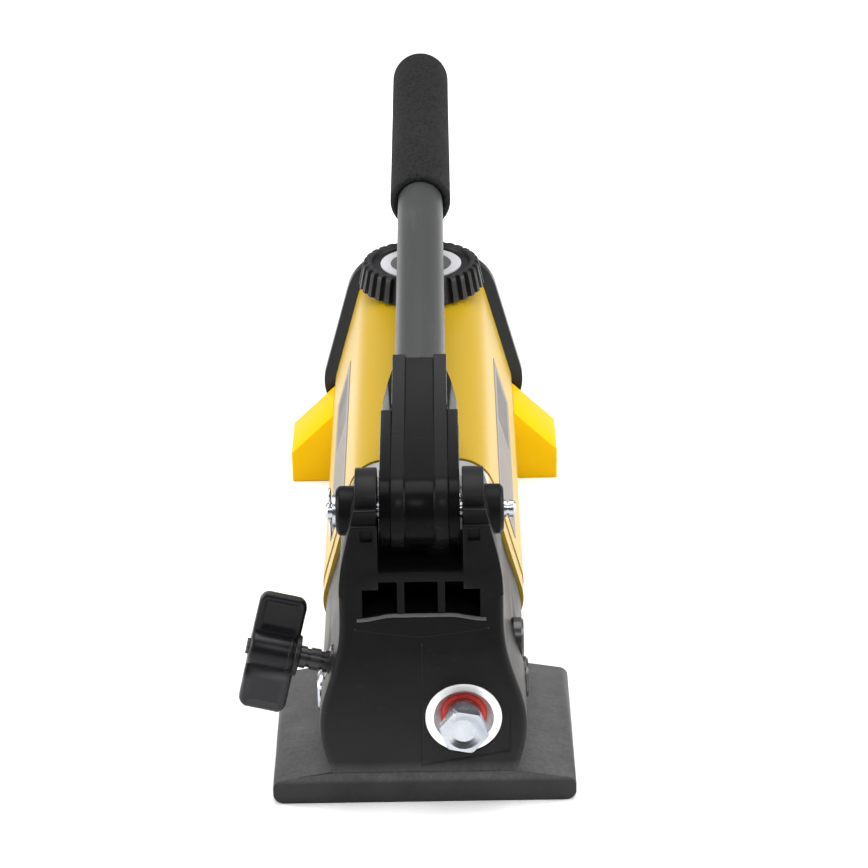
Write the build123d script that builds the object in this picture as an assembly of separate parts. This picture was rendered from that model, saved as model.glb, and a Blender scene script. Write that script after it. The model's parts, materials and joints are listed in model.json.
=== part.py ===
"""Two-speed hydraulic hand pump, lever stowed over its reservoir.

Millimetres. X runs across the pump, positive towards the flank with two valve
plugs; Y from the head towards the reservoir; Z up. The origin is on the sole of
the front foot, straight below the lever's pivot.
"""
from build123d import *
from math import atan, cos, degrees, radians, sin, sqrt, tan
import os

# ---------------------------------------------------------------- lever and drive
PIVOT_Z = 119.0            # lever pivot above the ground
LEVER_TILT = 0.8           # degrees that the stowed lever rises to the rear
LEVER_TRAVEL = 52.0        # degrees from stowed to fully raised
CRANK_R = 28.0             # pivot to piston pin
CRANK_LOW = 20.0           # degrees of the piston pin below the pivot when stowed
RUNNING = 0.05             # radial clearance of a running fit
PIN_R = 3.35               # fulcrum pin
PIN_LEFT = -36.2
PIN_RIGHT = 37.0
HUB_HALF = 15.5
RIB_R = 14.7               # raised ribs of the beam, also its half-height
FLANGE_R = 14.3            # side flanges
CORE_R = 13.95             # hollow between the ribs
RIB_INNER = 5.8
RIB_OUTER = 11.2
RIB_LENGTH = 114.5         # pivot to the end of the ribs
FLANGE_LENGTH = 61.0
GUSSET_CORNER = 84.0
CHANNEL_HALF = 9.2         # slot that the piston's tongue works in
TUBE_R = 10.65
TUBE_WALL = 2.0
TUBE_START = 58.0
TUBE_END = 494.0
GRIP_START = 323.0
GRIP_R = 14.4
LEVER_LENGTH = 512.0       # pivot to the tip of the grip
TUBE_PIN_S = 96.0          # pivot to the roll pin that holds the tube
COTTER_X = -34.6
PIN_IN_LEVER = (CRANK_R * cos(radians(CRANK_LOW + LEVER_TILT)),
                -CRANK_R * sin(radians(CRANK_LOW + LEVER_TILT)))

# ---------------------------------------------------------------- piston and its bores
PISTON_Y = CRANK_R * (1 + cos(radians(LEVER_TRAVEL - CRANK_LOW))) / 2
PISTON_PIN_R = 4.0
PISTON_PIN_Y = CRANK_R * cos(radians(CRANK_LOW))
PISTON_PIN_Z = PIVOT_Z - CRANK_R * sin(radians(CRANK_LOW))
BOSS_PIN_R = 8.5           # cheek boss round the piston pin
TONGUE_HALF_Y = 9.3
TONGUE_HALF_Z = 7.6
TONGUE_HALF_X = 8.4
BIG_R = 12.0               # low-pressure piston
BIG_Z = 44.0               # its underside at the bottom of the stroke
BIG_H = 9.0
SMALL_R = 5.5              # high-pressure plunger
SMALL_L = 31.0
ROD_R = 7.0
TOWER_R = 20.0
TOWER_TOP = 86.0
GLAND_SEAT = 78.2          # top of the low-pressure chamber
GLAND_R = 14.0
GLAND_TOP = 91.0

# ---------------------------------------------------------------- head
HEAD_FRONT = -20.0
HEAD_REAR = 84.0
FOOT_REAR = 70.0
FOOT_HALF = 60.0
FOOT_MID_H = 14.0
FOOT_EDGE_H = 10.0
CASING_TOP = 68.0
SHOULDER_Z = 104.0
HEAD_EDGE_R = 3.2
EAR_R = 16.6
EAR_INNER = 16.4
BOSS_R = 9.7
BOSS_OUTER = 32.4
CROSSBAR_TOP = 100.2
BLOCK_HALF = 24.0
BLOCK_FRONT = HEAD_FRONT + 8
BLOCK_FLOOR = 5.0
BLOCK_TOP = 64.0
CASING_SCREWS = [(x, y) for x in (-17.0, 17.0) for y in (-2.0, 60.0)]

# ---------------------------------------------------------------- outlet port and valves
PORT_X = 15.8
PORT_Z = 37.0
SPOT_R = 15.0
SPOT_Y = HEAD_FRONT + 1.6
PAD_Y = HEAD_FRONT + 0.75      # flat pad cut in the casing round the port
PORT_MOUTH_R = 11.8        # wide end of the port's tapered mouth
PORT_SEAL_R = 8.9
PORT_BOSS_R = 10.5         # metal round the port inside the casing
PORT_BOSS_Y = 8.0
PORT_SEAL_Y = SPOT_Y + 3.4
PORT_THREAD_R = 7.2
PLUG_HEX_AF = 17.0
PLUG_HEX_H = 4.5
PLUG_END_Y = HEAD_FRONT - 10.0
PLUG_HEX_Y = PLUG_END_Y + PLUG_HEX_H
VALVE_R = 5.0              # bore behind each valve plug
PLUG_HEAD_R = 8.5
PLUG_HEAD_H = 4.0
BALL_R = 3.0
BALL_LIFT = 1.2
# side of the head, Y, Z, seat X and plug seat X of each check or relief valve
VALVES = {
    "inlet": (1, 30.0, 46.0, 15.0, 36.6),
    "outlet": (1, 30.0, 28.0, 9.5, 38.4),
    "relief": (-1, 17.0, 30.0, 11.5, 38.4),
}

# ---------------------------------------------------------------- release valve
RELEASE_Y = 5.0
RELEASE_WALL = (-36.0, 49.6)   # X and Z where the stem leaves the side wall
RELEASE_TILT = 14.0            # degrees that the stem rises outwards
STEM_R = 4.4
STEM_NOSE = -26.0              # along the stem's axis, from the wall outwards
GLAND_IN = -14.0
KNOB_IN = 13.5
KNOB_OUT = 33.5
KNOB_REACH = 23.4
KNOB_TURN = 12.0               # degrees that the wings stand off the upright
KNOB_PIN_Z = KNOB_OUT - 4.0
KNOB_PIN_R = 1.25
KNOB_PIN_IN = -4.5             # blind end of the pin's hole

# ---------------------------------------------------------------- reservoir
PLATE_REAR = 98.0
RES_FRONT = 99.5
RES_REAR = 311.0
RES_TOP = 94.0
RES_BOTTOM = 18.0
RES_TOP_HALF = 27.0        # half-width at the top if its corners were sharp
RES_SLOPE = 15.6           # degrees that each side leans outwards
RES_TOP_R = 16.0
RES_LOW_R = 18.0
RES_WALL = 3.0
RIM = 5.5                  # how far the end cap stands out round the reservoir
END_FLANGE = 312.5
END_REAR = 322.5
TIE_R = 4.0
TIE_Z = 58.0
SUCTION_X = -14.0
SUCTION_Z = 32.0
LABEL_Y = (112.0, 252.0)
LABEL_Z = (50.0, 73.0)
LABEL_T = 0.3

# ---------------------------------------------------------------- filler cap and rear foot
CAP_Y = 291.0
CAP_SEAT = 94.8
CAP_TOP = 107.0
CAP_LOW_R = 29.4
CAP_TOP_R = 26.9
CAP_RIBS = 32
NECK_R = 11.0
NECK_WALL = 2.5
REAR_FOOT_Y = (276.0, 310.8)
REAR_FOOT_HALF = 63.2
REAR_FOOT_EDGE = 15.2
REAR_FOOT_TOP = 34.6
REAR_FOOT_SLOPE = 43.7     # degrees of the wings' sloping tops
REAR_SCREWS = [(x, sum(REAR_FOOT_Y) / 2) for x in (-20.0, 20.0)]


# ---------------------------------------------------------------- small helpers
def block(x0, x1, y0, y1, z0, z1):
    """Box between two opposite corners, given in any order."""
    size = (abs(x1 - x0), abs(y1 - y0), abs(z1 - z0))
    return Pos((x0 + x1) / 2, (y0 + y1) / 2, (z0 + z1) / 2) * Box(*size)


def rod_z(radius, z0, z1, x=0.0, y=0.0):
    """Upright cylinder."""
    return Pos(x, y, (z0 + z1) / 2) * Cylinder(radius, abs(z1 - z0))


def rod_y(radius, y0, y1, x=0.0, z=0.0):
    """Cylinder along Y."""
    return Pos(x, (y0 + y1) / 2, z) * Rot(90, 0, 0) * Cylinder(radius, abs(y1 - y0))


def rod_x(radius, x0, x1, y=0.0, z=0.0):
    """Cylinder along X."""
    return Pos((x0 + x1) / 2, y, z) * Rot(0, 90, 0) * Cylinder(radius, abs(x1 - x0))


def side_prism(face, x0, x1):
    """Extrude a face drawn as (y, z) from x0 to x1."""
    return extrude(Plane.YZ.offset(x0) * face, amount=x1 - x0)


def front_prism(face, y0, y1):
    """Extrude a face drawn as (x, z) from y0 to y1."""
    return extrude(Plane.XZ.offset(-y1) * face, amount=y1 - y0)


def polygon(*points):
    """Closed face through straight-sided points."""
    return make_face(Polyline(*points, close=True))


def mirrored(shape):
    """The shape and its mirror image across the pump's middle."""
    return shape + mirror(shape, about=Plane.YZ)


def save(name, shape):
    """Write one node."""
    shape.label = name
    export_step(shape, os.path.join("parts", name + ".step"))


def lever_frame(shape):
    """Place a shape drawn with the lever along +Y and its pivot at the origin."""
    return Pos(0, 0, PIVOT_Z) * Rot(LEVER_TILT, 0, 0) * shape


def release_frame(shape):
    """Place a shape drawn round +Z, which becomes the release stem's outward axis."""
    x, z = RELEASE_WALL
    return Pos(x, RELEASE_Y, z) * Rot(0, RELEASE_TILT - 90, 0) * shape


# ---------------------------------------------------------------- reservoir section
def reservoir_section(grow=0.0):
    """The reservoir's outline: flat top, leaning sides and large corners."""
    lean = tan(radians(RES_SLOPE))
    side = grow / cos(radians(RES_SLOPE))
    top = RES_TOP + grow
    low = RES_BOTTOM - grow
    top_x = RES_TOP_HALF + side - grow * lean
    low_x = top_x + (top - low) * lean
    face = polygon((-low_x, low), (low_x, low), (top_x, top), (-top_x, top))
    upper = face.vertices().group_by(Axis.Y)[-1]
    face = fillet(upper, RES_TOP_R + grow)
    lower = face.vertices().sort_by(Axis.Y)[:2]
    return fillet(lower, RES_LOW_R + grow)


def section_prism(y0, y1, grow=0.0):
    """Bar of the reservoir's outline."""
    return front_prism(reservoir_section(grow), y0, y1)


# ---------------------------------------------------------------- head casing
def head_side_outline():
    """Lower head seen from the side: upright front face, shoulder and low rear deck."""
    front = Spline((HEAD_FRONT, 6), (HEAD_FRONT + 0.8, 45), (HEAD_FRONT + 3.4, SHOULDER_Z),
                   tangents=((0, 1), (0.06, 1)))
    rest = Polyline((HEAD_FRONT + 3.4, SHOULDER_Z), (EAR_R + 3, SHOULDER_Z),
                    (EAR_R + 10, CASING_TOP), (HEAD_REAR, CASING_TOP),
                    (HEAD_REAR, 6), (HEAD_FRONT, 6))
    return make_face(Wire([front.edge()] + rest.edges()))


def ear_side_outline():
    """Ears seen from the side: a round head on a straight neck."""
    neck = polygon((-EAR_R, 90), (EAR_R, 90), (EAR_R, PIVOT_Z), (-EAR_R, PIVOT_Z))
    return neck + Pos(0, PIVOT_Z) * Circle(EAR_R)


def head_front_outline():
    """Head seen from the front: bulged flanks, waist, and shoulders that close to the ears."""
    half = [(36.8, 6), (37.4, 14), (40.6, 28), (40.2, 40), (36.2, 54), (33.0, 66),
            (31.9, 78), (31.4, 98), (29.2, 110), (25.4, 126), (24.8, 140)]
    right = Spline(*half, tangents=((0, 1), (0, 1)))
    left = Spline(*[(-x, z) for x, z in half], tangents=((0, 1), (0, 1)))
    top = Line((-24.8, 140), (24.8, 140))
    base = Line((-36.8, 6), (36.8, 6))
    return make_face(Wire([right.edge(), top.edge(), left.edge(), base.edge()]))


def front_foot():
    """Plate under the head: thick in the middle, thinner and rounded at its edges."""
    outline = polygon((-FOOT_HALF, 0), (FOOT_HALF, 0), (FOOT_HALF, FOOT_EDGE_H), (36, FOOT_MID_H),
                      (-36, FOOT_MID_H), (-FOOT_HALF, FOOT_EDGE_H))
    plate = front_prism(outline, HEAD_FRONT, FOOT_REAR)
    long_edges = plate.edges().filter_by(Axis.Y)
    plate = fillet(long_edges.filter_by(lambda e: abs(e.center().X) > FOOT_HALF - 1), 4.0)
    return plate


def long_front_edges(body):
    """The two edges where the front face meets the flanks."""
    edges = body.edges().filter_by(lambda e: abs(e.center().X) > 20 and e.length > 60)
    return edges.sort_by(lambda e: e.center().Y)[:2]


def pin_boss(side):
    """Round boss on the outside of an ear, bevelled at its end."""
    boss = rod_x(BOSS_R, side * 20, side * BOSS_OUTER, 0, PIVOT_Z)
    rim = boss.edges().filter_by(GeomType.CIRCLE).sort_by(lambda e: side * e.center().X)[-1]
    return chamfer(rim, 1.4)


def build_head_casing():
    """Nylon casing with the front foot, the two ears and their bosses."""
    envelope = front_prism(head_front_outline(), HEAD_FRONT - 5, HEAD_REAR + 5)
    body = side_prism(head_side_outline(), -FOOT_HALF, FOOT_HALF) & envelope
    body = fillet(long_front_edges(body), HEAD_EDGE_R)
    ears = side_prism(ear_side_outline(), -FOOT_HALF, FOOT_HALF) & envelope
    casing = body + ears + front_foot() + pin_boss(-1) + pin_boss(1)
    ahead = HEAD_FRONT - 5
    # gap between the ears, down to the crossbar
    casing -= block(-EAR_INNER, EAR_INNER, ahead, EAR_R + 40, CROSSBAR_TOP, PIVOT_Z + 40)
    # step across the front of each ear, below its rounded top
    step_z = PIVOT_Z + EAR_R * sin(radians(50))
    casing -= block(-27, 27, ahead, -EAR_R + 1.3, PIVOT_Z + 1, step_z)
    casing -= block(-27, 27, ahead, -12.2, PIVOT_Z + 7, step_z)
    casing -= mirrored(block(18.3, 22.9, ahead, -EAR_R + 1.6, 113.6, 118.4))
    # three moulding cores under the crossbar, with two ribs between them
    casing -= block(-6.4, 6.4, ahead, 4, 82.6, 96.2)
    casing -= mirrored(block(9.3, EAR_INNER, ahead, 4, 82.6, 96.2))
    corner = polygon((16.2, 82.6), (22.8, 80.6), (22.8, 93.0), (16.2, 93.0))
    casing -= mirrored(front_prism(corner, ahead, 4))
    # seat for the metal block, open at the rear, with room for its tower and the gland
    casing -= block(-BLOCK_HALF, BLOCK_HALF, BLOCK_FRONT, HEAD_REAR + 1, BLOCK_FLOOR, BLOCK_TOP)
    casing -= rod_z(TOWER_R + 0.3, BLOCK_TOP - 1, TOWER_TOP + 0.5, 0, PISTON_Y)
    casing -= rod_z(EAR_INNER - 0.4, TOWER_TOP, CROSSBAR_TOP + 1, 0, PISTON_Y)
    # outlet window and the flat pad round it
    pad = polygon((-1, 16.5), (34, 22.5), (34, 51.5), (-1, 59.0))
    casing -= front_prism(pad, ahead, PAD_Y)
    casing -= rod_y(SPOT_R + 0.3, ahead, BLOCK_FRONT + 0.3, PORT_X, PORT_Z)
    casing -= rod_y(PORT_BOSS_R + 0.3, ahead, PORT_BOSS_Y + 0.3, PORT_X, PORT_Z)
    # fulcrum pin, release gland, valve plugs and casing screws
    casing -= rod_x(PIN_R + RUNNING, -40, 40, 0, PIVOT_Z)
    casing -= release_frame(rod_z(7.2, GLAND_IN, 30))
    for side, y, z, _, plug_x in VALVES.values():
        casing -= rod_x(VALVE_R + 0.6, side * (BLOCK_HALF - 1), side * 60, y, z)
        casing -= rod_x(PLUG_HEAD_R + 0.7, side * plug_x, side * 60, y, z)
    for x, y in CASING_SCREWS:
        casing -= rod_z(2.8, -1, BLOCK_FLOOR + 1, x, y) + rod_z(5.2, -1, 3.0, x, y)
    return casing


def build_casing_screws():
    """Four button-head screws from below, in counterbores of the sole."""
    screws = []
    for x, y in CASING_SCREWS:
        head = rod_z(4.8, 0.8, 3.0, x, y)
        socket = Pos(x, y, 0.8) * extrude(RegularPolygon(1.7, 6), 1.4)
        screws.append(head + rod_z(2.5, 3.0, 17.0, x, y) - socket)
    return Compound(screws)


# ---------------------------------------------------------------- pump block
def valve_bore(side, y, z, seat_x, _):
    """Stepped bore of one valve: passage, conical seat and plug thread."""
    passage = rod_x(1.8, side * (seat_x - 6), side * seat_x, y, z)
    chamber = rod_x(VALVE_R, side * seat_x, side * (BLOCK_HALF + 1), y, z)
    return passage + chamber


def build_pump_block():
    """Aluminium block with the stepped bore and the gland tower."""
    half = BLOCK_HALF - 0.3
    front = BLOCK_FRONT + 0.3
    body = block(-half, half, front, HEAD_REAR, BLOCK_FLOOR, BLOCK_TOP - 0.3)
    body += rod_z(TOWER_R, BLOCK_TOP - 5, TOWER_TOP, 0, PISTON_Y)
    body += rod_y(SPOT_R, SPOT_Y, front, PORT_X, PORT_Z)
    body += rod_y(PORT_BOSS_R, SPOT_Y, PORT_BOSS_Y, PORT_X, PORT_Z)
    # stepped bore, gland counterbore and the plunger seal's groove
    body -= rod_z(BIG_R + RUNNING, BIG_Z - 0.5, GLAND_SEAT + 1, 0, PISTON_Y)
    body -= rod_z(GLAND_R, GLAND_SEAT, TOWER_TOP + 1, 0, PISTON_Y)
    body -= rod_z(SMALL_R + RUNNING, BIG_Z - SMALL_L - 1, BIG_Z, 0, PISTON_Y)
    body -= rod_z(8.0, 38.6, 41.6, 0, PISTON_Y)
    # outlet port with its tapered mouth
    mouth = Cone(PORT_MOUTH_R, PORT_SEAL_R, PORT_SEAL_Y - SPOT_Y)
    body -= Pos(PORT_X, (SPOT_Y + PORT_SEAL_Y) / 2, PORT_Z) * Rot(-90, 0, 0) * mouth
    body -= rod_y(PORT_SEAL_R, PORT_SEAL_Y - 0.5, PORT_SEAL_Y + 1.6, PORT_X, PORT_Z)
    body -= rod_y(PORT_THREAD_R, SPOT_Y, 6, PORT_X, PORT_Z)
    for valve in VALVES.values():
        body -= valve_bore(*valve)
    # release bore, tie rod, passage between the tank and the inlet valve
    body -= release_frame(rod_z(STEM_R + RUNNING, STEM_NOSE - 7, 10))
    body -= release_frame(rod_z(7.2, GLAND_IN, 10))
    body -= rod_y(TIE_R, HEAD_REAR - 8, HEAD_REAR + 1, 0, TIE_Z)
    body -= rod_y(4.0, HEAD_REAR - 12, HEAD_REAR + 1, SUCTION_X, SUCTION_Z)
    body -= rod_y(2.0, 30, HEAD_REAR, SUCTION_X, SUCTION_Z)
    for x, y in CASING_SCREWS:
        body -= rod_z(2.5, BLOCK_FLOOR - 1, 19.0, x, y)
    return body


def build_bulkhead():
    """Plate between the block and the reservoir, with a spigot inside the shell."""
    plate = section_prism(HEAD_REAR, PLATE_REAR, -0.4)
    plate += section_prism(PLATE_REAR, RES_FRONT + 8, -RES_WALL - 0.3)
    plate -= rod_y(TIE_R, HEAD_REAR - 1, RES_FRONT + 10, 0, TIE_Z)
    return plate - rod_y(4.0, HEAD_REAR - 1, RES_FRONT + 10, SUCTION_X, SUCTION_Z)


def build_gland_nut():
    """Threaded gland that closes the low-pressure chamber round the rod."""
    gland = rod_z(GLAND_R, GLAND_SEAT, TOWER_TOP, 0, PISTON_Y)
    gland += Pos(0, PISTON_Y, TOWER_TOP) * extrude(RegularPolygon(15.4, 6), GLAND_TOP - TOWER_TOP)
    gland -= rod_z(ROD_R + RUNNING, GLAND_SEAT - 1, GLAND_TOP + 1, 0, PISTON_Y)
    gland -= rod_z(9.6, GLAND_TOP - 3, GLAND_TOP + 1, 0, PISTON_Y)
    return gland


def ring_z(inner, outer, z0, z1, x=0.0, y=0.0):
    """Flat ring round an upright axis."""
    return rod_z(outer, z0, z1, x, y) - rod_z(inner, z0 - 1, z1 + 1, x, y)


def ring_y(inner, outer, y0, y1, x=0.0, z=0.0):
    """Flat ring round an axis along Y."""
    return rod_y(outer, y0, y1, x, z) - rod_y(inner, y0 - 1, y1 + 1, x, z)


def ring_x(inner, outer, x0, x1, y=0.0, z=0.0):
    """Flat ring round an axis along X."""
    return rod_x(outer, x0, x1, y, z) - rod_x(inner, min(x0, x1) - 1, max(x0, x1) + 1, y, z)


# ---------------------------------------------------------------- valves
def coil(radius, wire, length, turns):
    """Compression spring wound round +Z from z = 0."""
    path = Helix(pitch=(length - 2 * wire) / turns, height=length - 2 * wire, radius=radius)
    profile = Plane(origin=path @ 0, z_dir=path % 0) * Circle(wire)
    return Pos(0, 0, wire) * sweep(profile, path, is_frenet=True)


def hex_plug(af, head, thread_r, shank):
    """Hexagon-head plug whose shank points to -Z and whose head stands on z = 0."""
    across = af / 2 / cos(radians(30))
    crown = Pos(0, 0, head / 2) * Cone(across + head, across - 0.9, head)
    plug = extrude(RegularPolygon(across, 6), head) & crown
    return plug + rod_z(thread_r, -shank, 0)


def socket_plug(radius, length, key):
    """Plug with a round flanged head and a hexagon socket, its shank below z = 0."""
    head = rod_z(PLUG_HEAD_R, 0, PLUG_HEAD_H)
    rim = head.edges().filter_by(GeomType.CIRCLE).sort_by(Axis.Z)[-1]
    head = chamfer(rim, 0.9)
    return head + rod_z(radius, -length, 0) - Pos(0, 0, 1.0) * extrude(RegularPolygon(key, 6), 4)


def outwards(side, x, y, z):
    """Frame whose +Z points out of a flank at the given place."""
    return Pos(side * x, y, z) * Rot(0, side * 90, 0)


def valve_parts(name, side, y, z, seat_x, plug_x):
    """Ball, spring and plug of one valve, ordered from its seat outwards."""
    ball_x = seat_x + sqrt(BALL_R ** 2 - 1.8 ** 2)
    spring_x = ball_x + BALL_R + BALL_LIFT
    plug_length = plug_x - spring_x - 6.0
    ball = Pos(side * ball_x, y, z) * Sphere(BALL_R - 0.01)
    spring = outwards(side, spring_x, y, z) * coil(1.9, 0.4, 6.0 + 2.0, 4)
    plug = socket_plug(VALVE_R, plug_length, 3.4)
    plug -= rod_z(2.9, -plug_length - 1, -plug_length + 2.0)
    return {
        name + "_check_ball": ball,
        name + "_valve_spring": spring,
        name + "_valve_plug": outwards(side, plug_x, y, z) * plug,
    }


# ---------------------------------------------------------------- outlet plug
def build_port_plug():
    """Zinc hexagon plug in the outlet port."""
    frame = Pos(PORT_X, PLUG_HEX_Y, PORT_Z) * Rot(90, 0, 0) * Rot(0, 0, -11)
    plug = hex_plug(PLUG_HEX_AF, PLUG_HEX_H, PORT_THREAD_R - 0.02, 4.0 - PLUG_HEX_Y)
    dish = Pos(0, 0, PLUG_HEX_H - 0.5) * Cone(4.4, 6.4, 1.0)
    return frame * (plug - dish - rod_z(4.4, PLUG_HEX_H - 2.2, PLUG_HEX_H))


def build_port_seal():
    """Ring seal at the bottom of the port's counterbore."""
    return ring_y(PORT_THREAD_R, PORT_SEAL_R - 0.1, PORT_SEAL_Y - 0.4, PORT_SEAL_Y + 1.6,
                  PORT_X, PORT_Z)


# ---------------------------------------------------------------- piston
def build_piston():
    """Stepped piston: tongue with a cross slot, rod, low-pressure piston and plunger."""
    slot_half = CRANK_R * (1 - cos(radians(LEVER_TRAVEL - CRANK_LOW))) / 2 + 0.3
    top = PISTON_PIN_Z + TONGUE_HALF_Z
    low = PISTON_PIN_Z - TONGUE_HALF_Z
    tongue = block(-TONGUE_HALF_X, TONGUE_HALF_X,
                   PISTON_Y - TONGUE_HALF_Y, PISTON_Y + TONGUE_HALF_Y, low, top)
    rod = rod_z(ROD_R, BIG_Z + BIG_H, low + 1, 0, PISTON_Y)
    piston = tongue + rod + rod_z(BIG_R, BIG_Z, BIG_Z + BIG_H, 0, PISTON_Y)
    piston += rod_z(SMALL_R, BIG_Z - SMALL_L, BIG_Z, 0, PISTON_Y)
    piston -= ring_z(10.0, BIG_R + 1, BIG_Z + 2.5, BIG_Z + 6.0, 0, PISTON_Y)
    slot = block(-20, 20, PISTON_Y - slot_half, PISTON_Y + slot_half,
                 PISTON_PIN_Z - PISTON_PIN_R - 0.5, PISTON_PIN_Z + PISTON_PIN_R + 0.5)
    for y in (PISTON_Y - slot_half, PISTON_Y + slot_half):
        slot += rod_x(PISTON_PIN_R + 0.5, -20, 20, y, PISTON_PIN_Z)
    return piston - slot


# ---------------------------------------------------------------- lever
def beam_strip(x0, x1, radius, length):
    """One lengthwise strip of the beam, round at the hub and straight behind it."""
    return rod_x(radius, x0, x1) + block(x0, x1, 0, length, -radius, radius)


def tongue_channel():
    """Room in the beam for the piston's tongue and rod over the whole stroke."""
    pin_y, pin_z = PIN_IN_LEVER
    room = rod_x(14.5, -CHANNEL_HALF, CHANNEL_HALF, pin_y, pin_z)
    room += block(-CHANNEL_HALF, CHANNEL_HALF, 0, pin_y, -24, pin_z)
    return room - rod_x(15.6, -20, 20)


def build_lever_beam():
    """Moulded beam with hub, ribs, side flanges, gussets and the socket for the tube."""
    pin_y, pin_z = PIN_IN_LEVER
    beam = beam_strip(-RIB_INNER, RIB_INNER, CORE_R, RIB_LENGTH - 1.5)
    beam += mirrored(beam_strip(RIB_INNER, RIB_OUTER, RIB_R, RIB_LENGTH))
    beam += mirrored(beam_strip(RIB_OUTER, HUB_HALF, FLANGE_R, FLANGE_LENGTH))
    # gussets taper from the flanges to the ribs and slope outwards
    side = HUB_HALF - 0.3
    plan = polygon((0, 30), (side, 30), (side, GUSSET_CORNER), (RIB_OUTER, RIB_LENGTH - 3),
                   (0, RIB_LENGTH - 3))
    wedge = side_prism(polygon((30, -FLANGE_R), (RIB_LENGTH, -FLANGE_R), (RIB_LENGTH, 9.0),
                               (30, 13.2)), -20, 20)
    bevel = front_prism(polygon((RIB_OUTER, 12.4), (HUB_HALF, 6.4), (HUB_HALF + 5, 6.4),
                                (HUB_HALF + 5, 20), (RIB_OUTER, 20)), FLANGE_LENGTH, RIB_LENGTH)
    beam += mirrored((extrude(Plane.XY.offset(-FLANGE_R) * plan, 40) & wedge) - bevel)
    beam += rod_x(BOSS_PIN_R, -HUB_HALF, HUB_HALF, pin_y, pin_z)
    beam -= tongue_channel()
    beam -= rod_x(PIN_R + RUNNING, -20, 20)
    beam -= rod_x(PISTON_PIN_R, -20, 20, pin_y, pin_z)
    beam -= rod_y(TUBE_R, TUBE_START, RIB_LENGTH + 5)
    beam -= rod_z(2.0, -20, -7, 0, TUBE_PIN_S)
    return lever_frame(beam)


def build_lever_tube():
    """Steel tube of the lever."""
    tube = rod_y(TUBE_R, TUBE_START, TUBE_END)
    tube -= rod_y(TUBE_R - TUBE_WALL, TUBE_START - 1, TUBE_END + 1)
    return lever_frame(tube - rod_z(2.0, -20, -7, 0, TUBE_PIN_S))


def build_tube_roll_pin():
    """Slotted roll pin through the bottom of the beam and the tube's wall."""
    pin = ring_z(1.2, 2.0, -12.5, -7.5, 0, TUBE_PIN_S)
    return lever_frame(pin - block(0, 3, TUBE_PIN_S - 0.4, TUBE_PIN_S + 0.4, -13, 13))


def build_lever_grip():
    """Foam sleeve with a round closed end."""
    dome_y = LEVER_LENGTH - GRIP_R
    grip = rod_y(GRIP_R, GRIP_START, dome_y) + Pos(0, dome_y, 0) * Sphere(GRIP_R)
    rim = grip.edges().filter_by(GeomType.CIRCLE).sort_by(Axis.Y)[0]
    grip = fillet(rim, 1.5)
    return lever_frame(grip - rod_y(TUBE_R, GRIP_START - 1, TUBE_END))


def build_piston_pin():
    """Pin in the beam's cheeks, grooved near both ends."""
    pin_y, pin_z = PIN_IN_LEVER
    pin = rod_x(PISTON_PIN_R, -18.2, 18.2, pin_y, pin_z)
    pin -= mirrored(ring_x(3.3, 5, 15.8, 16.9, pin_y, pin_z))
    return lever_frame(pin)


def build_piston_pin_clips():
    """Snap rings in the pin's grooves, each open at the bottom."""
    pin_y, pin_z = PIN_IN_LEVER
    clip = ring_x(3.3, 6.2, 15.8, 16.9, pin_y, pin_z)
    clip = lever_frame(clip - block(15, 18, pin_y - 2, pin_y + 2, pin_z - 8, pin_z))
    return Compound([clip, mirror(clip, about=Plane.YZ)])


# ---------------------------------------------------------------- fulcrum
def build_fulcrum_pin():
    """Steel pin through the ears and the hub, chamfered, with a cotter hole on the left."""
    pin = rod_x(PIN_R, PIN_LEFT, PIN_RIGHT, 0, PIVOT_Z)
    ends = pin.edges().filter_by(GeomType.CIRCLE)
    pin = chamfer(ends, 0.8)
    pin -= ring_x(2.6, 5, PIN_RIGHT - 3.6, PIN_RIGHT - 2.6, 0, PIVOT_Z)
    return pin - rod_z(1.0, PIVOT_Z - 10, PIVOT_Z + 10, COTTER_X)


def build_cotter_pin():
    """Split pin with its eye on top and its legs bent apart below."""
    shank = rod_z(0.95, PIVOT_Z - 4.2, PIVOT_Z + 4.6, COTTER_X)
    eye = Pos(COTTER_X, 0, PIVOT_Z + 6.6) * Rot(0, 90, 0) * Torus(2.2, 0.75)
    legs = shank + eye
    for turn in (-38, 32):
        leg = Rot(turn, 0, 0) * Pos(0, 0, -3.0) * Cylinder(0.7, 6.0)
        legs += Pos(COTTER_X, 0, PIVOT_Z - 3.9) * leg
    return legs


# ---------------------------------------------------------------- release valve
def build_release_stem():
    """Threaded needle with grooves and a flat-sided neck inside the knob."""
    pin_hole = rod_y(KNOB_PIN_R, KNOB_PIN_IN, 12, 0, KNOB_PIN_Z)
    stem = rod_z(STEM_R, STEM_NOSE + 3, KNOB_IN + 1)
    stem += Pos(0, 0, STEM_NOSE + 1.5) * Cone(2.0, STEM_R, 3)
    stem += rod_z(3.2, KNOB_IN, KNOB_OUT + 1.2)
    for z in (3.5, 9.0):
        stem -= ring_z(3.7, 6, z, z + 1.6)
    return release_frame(Rot(0, 0, KNOB_TURN) * (stem - pin_hole))


def knob_wing():
    """One wing of the knob, drawn upwards from its axis along +X."""
    half = (KNOB_OUT - KNOB_IN - 1) / 2
    middle = (KNOB_OUT + KNOB_IN + 1) / 2
    outline = Pos(KNOB_REACH / 2, middle) * RectangleRounded(KNOB_REACH, 2 * half, 3.5)
    return extrude(Plane.XZ.offset(-3.2) * outline, 6.4)


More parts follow.
